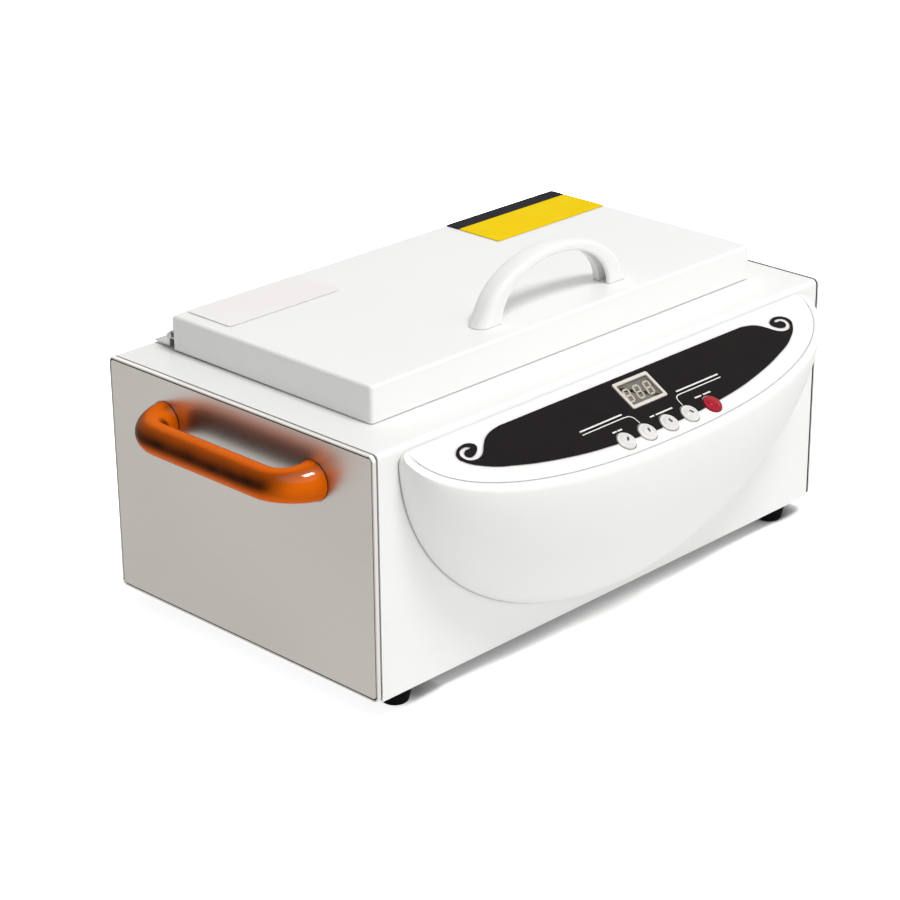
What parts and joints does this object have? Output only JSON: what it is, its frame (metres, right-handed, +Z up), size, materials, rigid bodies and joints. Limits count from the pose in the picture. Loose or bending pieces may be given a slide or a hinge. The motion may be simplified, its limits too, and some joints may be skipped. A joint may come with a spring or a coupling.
{
  "type": "dry heat steriliser",
  "caption": "Bench dry-heat steriliser: white steel box with stainless ends, amber pull handles, a hinged lid with an arch handle and a half-moon control housing with display and push buttons.",
  "frame": {"origin": "on the bench, under the middle of the overall box", "axes": "+X along the front towards the right end, +Y from the control housing to the rear, +Z up"},
  "size_m": [0.4154, 0.2582, 0.2013],
  "materials": {
    "white_enamel": "satin powder coat",
    "satin_steel": "satin",
    "bright_steel": "fine satin",
    "zinc_plate": "zinc plated",
    "white_plastic": "semi gloss",
    "amber_plastic": "gloss, translucent look",
    "black_rubber": "matt",
    "black_film": "printed film",
    "grey_plastic": "matt",
    "beige_plastic": "matt",
    "clear_cap": "gloss",
    "red_cap": "gloss",
    "yellow_label": "printed film",
    "dark_label": "printed film",
    "film_label": "thin film",
    "board_green": "solder mask",
    "black_plastic": "matt",
    "silicone": "matt",
    "mineral_wool": "matt fibre",
    "heater_sheath": "dark oxide"
  },
  "bodies": {
    "case": {"base_plate": "zinc_plate", "body_shell": "white_enamel", "chamber_tank": "bright_steel", "control_board": "board_green", "control_housing": "white_plastic", "control_overlay": "black_film", "display_bezel": "beige_plastic", "display_module": "grey_plastic", "end_handle_left": "amber_plastic", "end_handle_right": "amber_plastic", "end_plate_left": "satin_steel", "end_plate_right": "satin_steel", "foot_front_left": "black_rubber", "foot_front_right": "black_rubber", "foot_rear_left": "black_rubber", "foot_rear_right": "black_rubber", "foot_screw_front_left": "zinc_plate", "foot_screw_front_right": "zinc_plate", "foot_screw_rear_left": "zinc_plate", "foot_screw_rear_right": "zinc_plate", "grip_screw_front_left": "zinc_plate", "grip_screw_front_right": "zinc_plate", "grip_screw_rear_left": "zinc_plate", "grip_screw_rear_right": "zinc_plate", "heater_clamp_left": "zinc_plate", "heater_clamp_right": "zinc_plate", "heater_element": "heater_sheath", "hinge_fixed_leaf": "zinc_plate", "hinge_pin": "bright_steel", "housing_screw_left": "zinc_plate", "housing_screw_right": "zinc_plate", "inlet_screw_left": "zinc_plate", "inlet_screw_right": "zinc_plate", "power_inlet": "black_plastic", "rear_screw_left": "zinc_plate", "rear_screw_middle": "zinc_plate", "rear_screw_right": "zinc_plate", "tank_insulation": "mineral_wool", "temperature_probe": "bright_steel", "thermal_cutout": "black_plastic", "wiring_loom": "black_plastic"},
    "lid": {"lid_shell": "white_enamel", "lid_liner": "bright_steel", "lid_gasket": "silicone", "lid_insulation": "mineral_wool", "lid_handle": "white_plastic", "lid_label": "yellow_label", "lid_label_band": "dark_label", "film_label": "film_label", "hinge_moving_leaf": "zinc_plate", "arch_screw_left": "zinc_plate", "arch_screw_right": "zinc_plate"},
    "tray": {"instrument_tray": "bright_steel", "tray_grip_left": "bright_steel", "tray_grip_right": "bright_steel"},
    "key_1": {"button_1": "clear_cap"},
    "key_2": {"button_2": "clear_cap"},
    "key_3": {"button_3": "clear_cap"},
    "key_4": {"button_4": "clear_cap"},
    "key_5": {"button_5": "red_cap"}
  },
  "joints": [
    {"name": "lid_hinge", "type": "hinge", "parent": "case", "child": "lid", "pos_m": [0, 0.10748, 0.1552], "axis": [-1, 0, 0], "range_deg": [0, 105]},
    {"name": "tray_lift", "type": "slide", "parent": "case", "child": "tray", "axis": [0, 0, 1], "range_m": [0, 0.01]},
    {"name": "press_1", "type": "slide", "parent": "case", "child": "key_1", "axis": [0, 0.5, -0.866], "range_m": [0, 0.001], "stiffness_N_per_m": 200, "springref_m": -0.0005},
    {"name": "press_2", "type": "slide", "parent": "case", "child": "key_2", "axis": [0, 0.5, -0.866], "range_m": [0, 0.001], "stiffness_N_per_m": 200, "springref_m": -0.0005},
    {"name": "press_3", "type": "slide", "parent": "case", "child": "key_3", "axis": [0, 0.5, -0.866], "range_m": [0, 0.001], "stiffness_N_per_m": 200, "springref_m": -0.0005},
    {"name": "press_4", "type": "slide", "parent": "case", "child": "key_4", "axis": [0, 0.5, -0.866], "range_m": [0, 0.001], "stiffness_N_per_m": 200, "springref_m": -0.0005},
    {"name": "press_5", "type": "slide", "parent": "case", "child": "key_5", "axis": [0, 0.5, -0.866], "range_m": [0, 0.001], "stiffness_N_per_m": 200, "springref_m": -0.0005}
  ]
}
